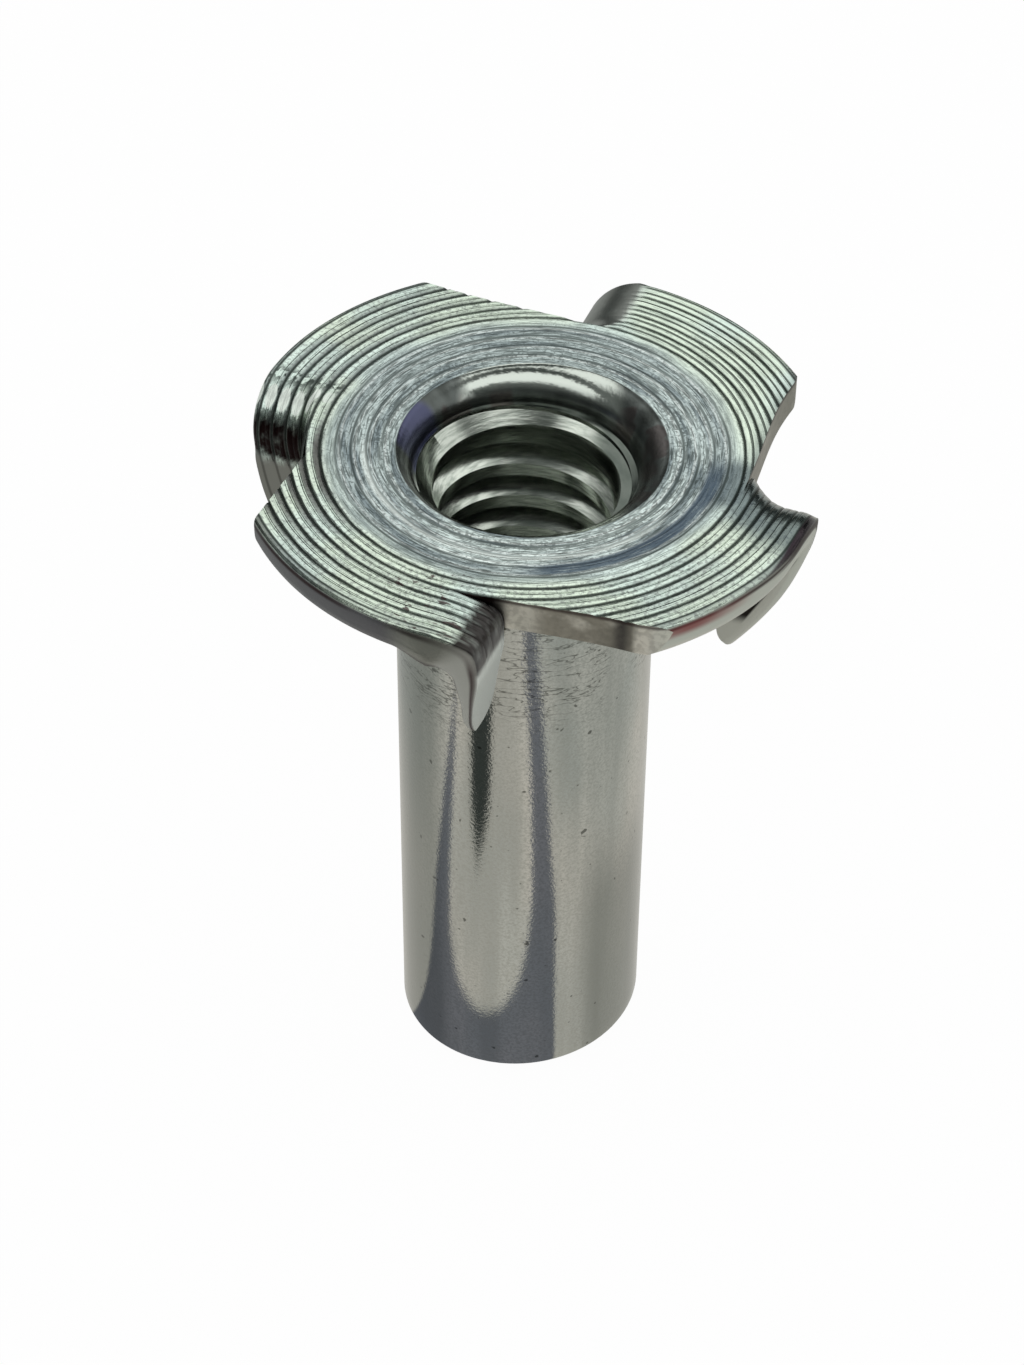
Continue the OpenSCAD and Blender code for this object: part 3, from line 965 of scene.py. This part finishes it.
def sheared_edge():
    """Walls of the slits: broad bright and dull patches where they were sheared
    and torn, a dark upright bar, a dark line along the top, and painted shade
    near the slits' ends and over the folds."""
    material, node, shader = finish("sheared_steel_edge", 0.38)
    flat = node("attribute", attribute_name="blank")
    worn_and_shaded = node("attribute", attribute_name="wear_and_shade")
    x, y, z = parts_mm(node, flat)
    patch = noise(node, flat, 1.1, 3.0, (1, 1, 1.3))
    fine = noise(node, flat, 0.2, 2.0)
    dull = node("MAXIMUM", node("ramp", x, 2.3, 3.1), 0.15)
    dull = dull * node("ramp", patch, 0.22, 0.44)
    bright = node("ramp", x, 5.4, 5.6) * node("ramp", y, -4.0, -5.0)
    dull = dull * (1.0 - bright)
    colour = node("blend", dull, "#efece1", "#a5a196")
    colour = node("blend", near(node, x, 5.15, 0.4) * 0.8, colour, "#4a4748")
    colour = node("blend", node("ramp", fine, 0.4, 0.65) * 0.3, colour, "#7f7d74")
    colour = node("blend", near(node, z, -0.06, 0.12) * 0.8, colour, "#3a2c2b")
    # painted shade near the slits' ends and over the folds
    colour = node("blend", node("parts", worn_and_shaded)[1], colour, "#2e1a1b")
    colour.to(shader, "Base Color")
    node("bump", 0.04 * MM, patch).to(shader, "Normal")
    return material


RINGED, BELL, THREADED, DRAWN, SHEARED = range(5)
FINISHES = [turned_rings(), smooth_bell(), cut_thread(), drawn_barrel(), sheared_edge()]

skin = Skin()
build_flange(skin, RINGED, SHEARED)
build_middle(skin, RINGED, BELL, THREADED, DRAWN)
mesh = skin.mesh("tee_nut_body", FINISHES)
nut = bpy.data.objects.new("tee_nut_body", mesh)
bpy.context.scene.collection.objects.link(nut)
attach(nut, "root")
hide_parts("tee_nut")

# ---------------------------------------------------------------- studio
CAMERA_HEADING = 21.8


def side_of(x, y, start, end):
    """How far a place lies to the left of the line from start to end."""
    dx, dy = end[0] - start[0], end[1] - start[1]
    length = math.hypot(dx, dy)
    across = x * (-dy / length) + y * (dx / length)
    return across + (dy * start[0] - dx * start[1]) / length


def inside(node, x, y, corners, soft):
    """How deep a place lies inside a convex outline, given anticlockwise and
    left open at its far end; corners are rounded by soft."""
    sides = [side_of(x, y, start, end) for start, end in zip(corners, corners[1:])]
    return reduce(lambda deep, side: node("SMOOTH_MIN", deep, side, soft), sides)


# painted shadows on the paper in front, seen only in the metal: a dark band
# with a light tongue cut into it, and a dark needle on the tongue
SHADOW_OUTLINE = [(13.7, -26.0), (13.4, -17.7), (12.0, -13.4), (10.4, -10.4), (8.7, -7.7), (5.5, -4.8),
                (2.8, -3.3), (-0.4, -1.0), (-3.4, -3.0), (-7.3, -4.9), (-10.1, -8.0), (-12.4, -12.0),
                (-13.4, -18.0)]
SHADOW_TONGUE = [(9.7, -26.0), (9.3, -18.0), (7.7, -13.4), (6.0, -10.3), (3.4, -8.0), (1.0, -6.75),
               (-0.7, -6.4), (-3.4, -6.8), (-5.6, -7.7), (-8.5, -10.4), (-12.4, -17.0)]
NEEDLE_SHADOW = [(-1.6, -24.0), (-1.1, -16.5), (-3.1, -12.8), (-5.9, -15.0), (-8.8, -21.0)]


def paper_floor():
    """Pale paper: white to the camera with the object's soft shadow. What the
    metal reflects of it is greyer, with painted shadows lying in front."""
    material = bpy.data.materials.new("paper_floor")
    node = emptied(material)
    x, y = parts_mm(node, node("place"))[:2]
    outer = inside(node, x, y, SHADOW_OUTLINE, 0.2)
    tongue = inside(node, x, y, SHADOW_TONGUE, 0.3)
    needle = inside(node, x, y, NEEDLE_SHADOW, 0.3)
    # painted shadows: the dark band round the light tongue, and the needle
    painted_shadow = node("ramp", outer, -0.1, 0.1) * node("ramp", tongue, 0.1, -0.1)
    paper = node("blend", node("ramp", abs(x), 9.0, 20.0), "#cbc9c3", "#b6b9b5")
    grey = node("blend", painted_shadow, paper, "#74777f")
    grey = node("blend", node("ramp", needle, -0.1, 0.5) * 0.95, grey, "#2c3534")
    lit = node("diffuse", "#fafafa")
    seen = node("mix", node("camera_ray") * 0.97, lit, node("emission", "#ffffff"))
    node("surface", node("mix", node("glossy_ray"), seen, node("emission", grey)))
    return material


def studio_world():
    """A bright sky behind, a lamp overhead in front, a window on the right,
    and otherwise a dark room, as the metal shows them."""
    world = bpy.data.worlds.new("studio")
    node = emptied(world)
    way = node("turn", node("direction"), -math.radians(CAMERA_HEADING))
    right, behind, up = node("parts", way)
    over = node("ARCTAN2", up, behind) * (180 / math.pi)
    back = node("ramp", over, 18, 34) * node("ramp", over, 102, 92)
    back = back * node("ramp", right, 0.95, 0.75) * node("ramp", right, -0.72, -0.4)
    lamp = node("ramp", over, 110, 116) * node("ramp", over, 146, 138)
    lamp = lamp * node("ramp", abs(right), 0.85, 0.7)
    window = node("ramp", right, 0.72, 0.84) * node("ramp", up, 0.0, 0.1)
    bright = node("MAXIMUM", node("MAXIMUM", back, lamp), window * 0.8)
    walls = node("ramp", up, 0.2, 0.4) * node("ramp", up, 0.95, 0.8)
    bright = node("MAXIMUM", bright, walls * 0.08)
    shown = node("background", node("blend", bright, "#404543", "#fbfefb"))
    seen = node("mix", node("glossy_ray"), node("background", "#f0f0f0", 0.9), shown)
    node("world", node("mix", node("camera_ray"), seen, node("background", "#ffffff")))
    return world


FLOOR_HALF = 0.6
FLOOR_Z = (END_DROP - END_TILT) * MM
corners = [(x * FLOOR_HALF, y * FLOOR_HALF, FLOOR_Z) for x, y in ((-1, -1), (1, -1), (1, 1), (-1, 1))]
floor_mesh = bpy.data.meshes.new("floor")
floor_mesh.from_pydata(corners, [], [(0, 1, 2, 3)])
floor = bpy.data.objects.new("floor", floor_mesh)
floor_mesh.materials.append(paper_floor())
bpy.context.scene.collection.objects.link(floor)
bpy.context.scene.world = studio_world()

# ---------------------------------------------------------------- camera
CAMERA_AT = (24.76, -62.90, 79.53)
CAMERA_DOWN = 43.994
CAMERA_ROLL = 0.467
camera_data = bpy.data.cameras.new("camera")
camera_data.sensor_width = 36
camera_data.lens = 77.8
camera_data.clip_start = 0.005
camera = bpy.data.objects.new("camera", camera_data)
aim = (Matrix.Rotation(math.radians(CAMERA_HEADING), 4, "Z")
       @ Matrix.Rotation(math.radians(90 - CAMERA_DOWN), 4, "X")
       @ Matrix.Rotation(math.radians(CAMERA_ROLL), 4, "Z"))
camera.matrix_world = Matrix.Translation([c * MM for c in CAMERA_AT]) @ aim
bpy.context.scene.collection.objects.link(camera)
bpy.context.scene.camera = camera
bpy.context.scene.view_settings.view_transform = "Standard"
